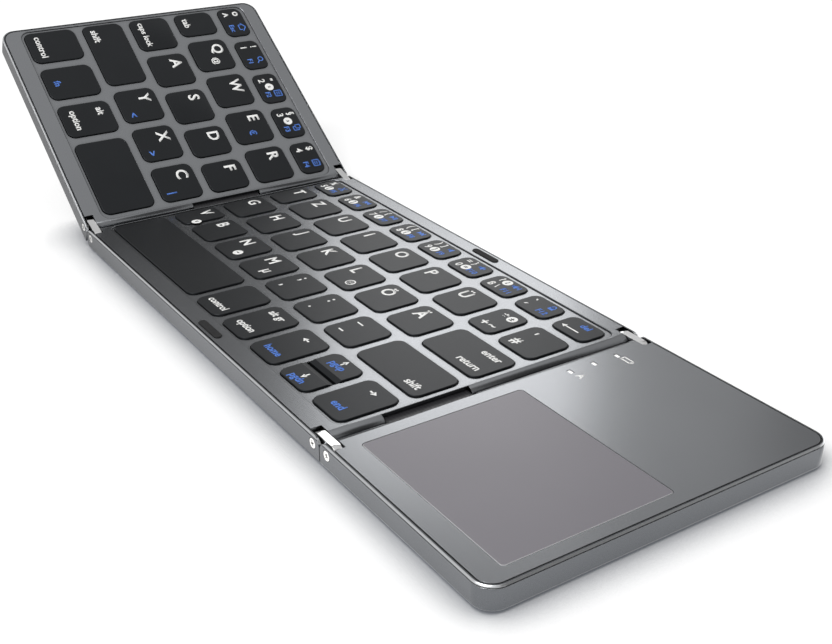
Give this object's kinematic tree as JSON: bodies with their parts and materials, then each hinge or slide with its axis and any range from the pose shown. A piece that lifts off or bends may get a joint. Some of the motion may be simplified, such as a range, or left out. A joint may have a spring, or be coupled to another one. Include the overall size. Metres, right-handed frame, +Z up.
{
  "type": "folding keyboard",
  "caption": "Three-panel folding keyboard with a touchpad on the right panel, double-pin side hinges and scissor keys that press; the left panel is shown partly folded up.",
  "frame": {"origin": "centre of the bounding box's base, on the plane of the rubber feet's soles", "axes": "+X along the keyboard towards the touchpad panel, +Y from the space bar towards the number row, +Z up out of the keys"},
  "size_m": [0.296, 0.098, 0.057],
  "materials": {
    "anodised_case": "fine anodised dark grey metal",
    "anodised_deck": "satin anodised grey metal with a soft sheen",
    "key_plastic": "fine matte near-black plastic",
    "link_chrome": "polished bright plated metal",
    "screw_steel": "turned bright steel",
    "sheet_steel": "plain sheet steel",
    "black_rubber": "matte black rubber",
    "silicone": "translucent white silicone rubber",
    "white_plastic": "matte white plastic",
    "membrane_film": "thin printed plastic film",
    "cable_film": "flexible black film cable",
    "etched_glass": "opaque etched grey glass",
    "board_laminate": "green circuit board laminate",
    "battery_foil": "foil pouch",
    "window_plastic": "clear light guide"
  },
  "bodies": {
    "middle_panel": {"middle_bottom_case": "anodised_case", "middle_deck": "anodised_deck", "middle_support_plate": "sheet_steel", "middle_membrane": "membrane_film", "middle_rubber_domes": "silicone", "middle_scissors": "white_plastic", "middle_hinge_screws": "screw_steel", "middle_rubber_feet": "black_rubber", "fold_bumpers": "black_rubber"},
    "left_links": {"left_hinge_links": "link_chrome", "left_flat_cable": "cable_film"},
    "left_panel": {"left_bottom_case": "anodised_case", "left_deck": "anodised_deck", "left_support_plate": "sheet_steel", "left_membrane": "membrane_film", "left_rubber_domes": "silicone", "left_scissors": "white_plastic", "left_hinge_screws": "screw_steel", "left_rubber_feet": "black_rubber"},
    "right_links": {"right_hinge_links": "link_chrome", "right_flat_cable": "cable_film"},
    "right_panel": {"right_bottom_case": "anodised_case", "right_deck": "anodised_deck", "touchpad_glass": "etched_glass", "touchpad_board": "board_laminate", "battery_cell": "battery_foil", "main_board": "board_laminate", "charging_port": "screw_steel", "light_windows": "window_plastic", "right_hinge_screws": "screw_steel", "right_rubber_feet": "black_rubber"},
    "number_keys_left": {"number_keys_left": "key_plastic"},
    "esc_key": {"esc_key": "key_plastic"},
    "tab_key": {"tab_key": "key_plastic"},
    "top_letter_keys_left": {"top_letter_keys_left": "key_plastic"},
    "caps_lock_key": {"caps_lock_key": "key_plastic"},
    "home_letter_keys_left": {"home_letter_keys_left": "key_plastic"},
    "left_shift_key": {"left_shift_key": "key_plastic"},
    "bottom_letter_keys_left": {"bottom_letter_keys_left": "key_plastic"},
    "modifier_keys_left": {"modifier_keys_left": "key_plastic"},
    "left_space_key": {"left_space_key": "key_plastic"},
    "number_keys_middle": {"number_keys_middle": "key_plastic"},
    "backspace_key": {"backspace_key": "key_plastic"},
    "top_letter_keys_middle": {"top_letter_keys_middle": "key_plastic"},
    "home_letter_keys_middle": {"home_letter_keys_middle": "key_plastic"},
    "enter_key": {"enter_key": "key_plastic"},
    "bottom_letter_keys_middle": {"bottom_letter_keys_middle": "key_plastic"},
    "right_shift_key": {"right_shift_key": "key_plastic"},
    "right_space_key": {"right_space_key": "key_plastic"},
    "modifier_keys_middle": {"modifier_keys_middle": "key_plastic"},
    "arrow_left_key": {"arrow_left_key": "key_plastic"},
    "arrow_right_key": {"arrow_right_key": "key_plastic"},
    "arrow_up_key": {"arrow_up_key": "key_plastic"},
    "arrow_down_key": {"arrow_down_key": "key_plastic"}
  },
  "joints": [
    {"name": "left_inner_hinge", "type": "hinge", "parent": "middle_panel", "child": "left_links", "pos_m": [-0.06989, 0, 0.0044], "axis": [0, 1, 0], "range_deg": [-17.5, 72.5], "deforming": ["left_flat_cable"]},
    {"name": "left_outer_hinge", "type": "hinge", "parent": "left_links", "child": "left_panel", "pos_m": [-0.07619, 0, 0.00638], "axis": [0, 1, 0], "range_deg": [-17.5, 72.5], "deforming": ["left_flat_cable"]},
    {"name": "right_inner_hinge", "type": "hinge", "parent": "middle_panel", "child": "right_links", "pos_m": [0.07991, 0, 0.0044], "axis": [0, -1, 0], "range_deg": [0, 90], "deforming": ["right_flat_cable"]},
    {"name": "right_outer_hinge", "type": "hinge", "parent": "right_links", "child": "right_panel", "pos_m": [0.08651, 0, 0.0044], "axis": [0, -1, 0], "range_deg": [0, 90], "deforming": ["right_flat_cable"]},
    {"name": "number_keys_left_press", "type": "slide", "parent": "left_panel", "child": "number_keys_left", "axis": [-0.5736, 0, -0.8192], "range_m": [0, 0.0013], "stiffness_N_per_m": 300, "springref_m": -0.0008, "deforming": ["left_rubber_domes", "left_scissors"]},
    {"name": "esc_key_press", "type": "slide", "parent": "left_panel", "child": "esc_key", "axis": [-0.5736, 0, -0.8192], "range_m": [0, 0.0013], "stiffness_N_per_m": 300, "springref_m": -0.0008, "deforming": ["left_rubber_domes", "left_scissors"]},
    {"name": "tab_key_press", "type": "slide", "parent": "left_panel", "child": "tab_key", "axis": [-0.5736, 0, -0.8192], "range_m": [0, 0.0013], "stiffness_N_per_m": 300, "springref_m": -0.0008, "deforming": ["left_rubber_domes", "left_scissors"]},
    {"name": "top_letter_keys_left_press", "type": "slide", "parent": "left_panel", "child": "top_letter_keys_left", "axis": [-0.5736, 0, -0.8192], "range_m": [0, 0.0013], "stiffness_N_per_m": 300, "springref_m": -0.0008, "deforming": ["left_rubber_domes", "left_scissors"]},
    {"name": "caps_lock_key_press", "type": "slide", "parent": "left_panel", "child": "caps_lock_key", "axis": [-0.5736, 0, -0.8192], "range_m": [0, 0.0013], "stiffness_N_per_m": 300, "springref_m": -0.0008, "deforming": ["left_rubber_domes", "left_scissors"]},
    {"name": "home_letter_keys_left_press", "type": "slide", "parent": "left_panel", "child": "home_letter_keys_left", "axis": [-0.5736, 0, -0.8192], "range_m": [0, 0.0013], "stiffness_N_per_m": 300, "springref_m": -0.0008, "deforming": ["left_rubber_domes", "left_scissors"]},
    {"name": "left_shift_key_press", "type": "slide", "parent": "left_panel", "child": "left_shift_key", "axis": [-0.5736, 0, -0.8192], "range_m": [0, 0.0013], "stiffness_N_per_m": 300, "springref_m": -0.0008, "deforming": ["left_rubber_domes", "left_scissors"]},
    {"name": "bottom_letter_keys_left_press", "type": "slide", "parent": "left_panel", "child": "bottom_letter_keys_left", "axis": [-0.5736, 0, -0.8192], "range_m": [0, 0.0013], "stiffness_N_per_m": 300, "springref_m": -0.0008, "deforming": ["left_rubber_domes", "left_scissors"]},
    {"name": "modifier_keys_left_press", "type": "slide", "parent": "left_panel", "child": "modifier_keys_left", "axis": [-0.5736, 0, -0.8192], "range_m": [0, 0.0013], "stiffness_N_per_m": 300, "springref_m": -0.0008, "deforming": ["left_rubber_domes", "left_scissors"]},
    {"name": "left_space_key_press", "type": "slide", "parent": "left_panel", "child": "left_space_key", "axis": [-0.5736, 0, -0.8192], "range_m": [0, 0.0013], "stiffness_N_per_m": 300, "springref_m": -0.0008, "deforming": ["left_rubber_domes", "left_scissors"]},
    {"name": "number_keys_middle_press", "type": "slide", "parent": "middle_panel", "child": "number_keys_middle", "axis": [0, 0, -1], "range_m": [0, 0.0013], "stiffness_N_per_m": 300, "springref_m": -0.0008, "deforming": ["middle_rubber_domes", "middle_scissors"]},
    {"name": "backspace_key_press", "type": "slide", "parent": "middle_panel", "child": "backspace_key", "axis": [0, 0, -1], "range_m": [0, 0.0013], "stiffness_N_per_m": 300, "springref_m": -0.0008, "deforming": ["middle_rubber_domes", "middle_scissors"]},
    {"name": "top_letter_keys_middle_press", "type": "slide", "parent": "middle_panel", "child": "top_letter_keys_middle", "axis": [0, 0, -1], "range_m": [0, 0.0013], "stiffness_N_per_m": 300, "springref_m": -0.0008, "deforming": ["middle_rubber_domes", "middle_scissors"]},
    {"name": "home_letter_keys_middle_press", "type": "slide", "parent": "middle_panel", "child": "home_letter_keys_middle", "axis": [0, 0, -1], "range_m": [0, 0.0013], "stiffness_N_per_m": 300, "springref_m": -0.0008, "deforming": ["middle_rubber_domes", "middle_scissors"]},
    {"name": "enter_key_press", "type": "slide", "parent": "middle_panel", "child": "enter_key", "axis": [0, 0, -1], "range_m": [0, 0.0013], "stiffness_N_per_m": 300, "springref_m": -0.0008, "deforming": ["middle_rubber_domes", "middle_scissors"]},
    {"name": "bottom_letter_keys_middle_press", "type": "slide", "parent": "middle_panel", "child": "bottom_letter_keys_middle", "axis": [0, 0, -1], "range_m": [0, 0.0013], "stiffness_N_per_m": 300, "springref_m": -0.0008, "deforming": ["middle_rubber_domes", "middle_scissors"]},
    {"name": "right_shift_key_press", "type": "slide", "parent": "middle_panel", "child": "right_shift_key", "axis": [0, 0, -1], "range_m": [0, 0.0013], "stiffness_N_per_m": 300, "springref_m": -0.0008, "deforming": ["middle_rubber_domes", "middle_scissors"]},
    {"name": "right_space_key_press", "type": "slide", "parent": "middle_panel", "child": "right_space_key", "axis": [0, 0, -1], "range_m": [0, 0.0013], "stiffness_N_per_m": 300, "springref_m": -0.0008, "deforming": ["middle_rubber_domes", "middle_scissors"]},
    {"name": "modifier_keys_middle_press", "type": "slide", "parent": "middle_panel", "child": "modifier_keys_middle", "axis": [0, 0, -1], "range_m": [0, 0.0013], "stiffness_N_per_m": 300, "springref_m": -0.0008, "deforming": ["middle_rubber_domes", "middle_scissors"]},
    {"name": "arrow_left_key_press", "type": "slide", "parent": "middle_panel", "child": "arrow_left_key", "axis": [0, 0, -1], "range_m": [0, 0.0013], "stiffness_N_per_m": 300, "springref_m": -0.0008, "deforming": ["middle_rubber_domes", "middle_scissors"]},
    {"name": "arrow_right_key_press", "type": "slide", "parent": "middle_panel", "child": "arrow_right_key", "axis": [0, 0, -1], "range_m": [0, 0.0013], "stiffness_N_per_m": 300, "springref_m": -0.0008, "deforming": ["middle_rubber_domes", "middle_scissors"]},
    {"name": "arrow_up_key_press", "type": "slide", "parent": "middle_panel", "child": "arrow_up_key", "axis": [0, 0, -1], "range_m": [0, 0.0013], "stiffness_N_per_m": 300, "springref_m": -0.0008, "deforming": ["middle_rubber_domes", "middle_scissors"]},
    {"name": "arrow_down_key_press", "type": "slide", "parent": "middle_panel", "child": "arrow_down_key", "axis": [0, 0, -1], "range_m": [0, 0.0013], "stiffness_N_per_m": 300, "springref_m": -0.0008, "deforming": ["middle_rubber_domes", "middle_scissors"]}
  ],
  "couplings": [
    {"joint": "left_outer_hinge", "follows": "left_inner_hinge", "ratio": 1},
    {"joint": "right_outer_hinge", "follows": "right_inner_hinge", "ratio": 1}
  ]
}
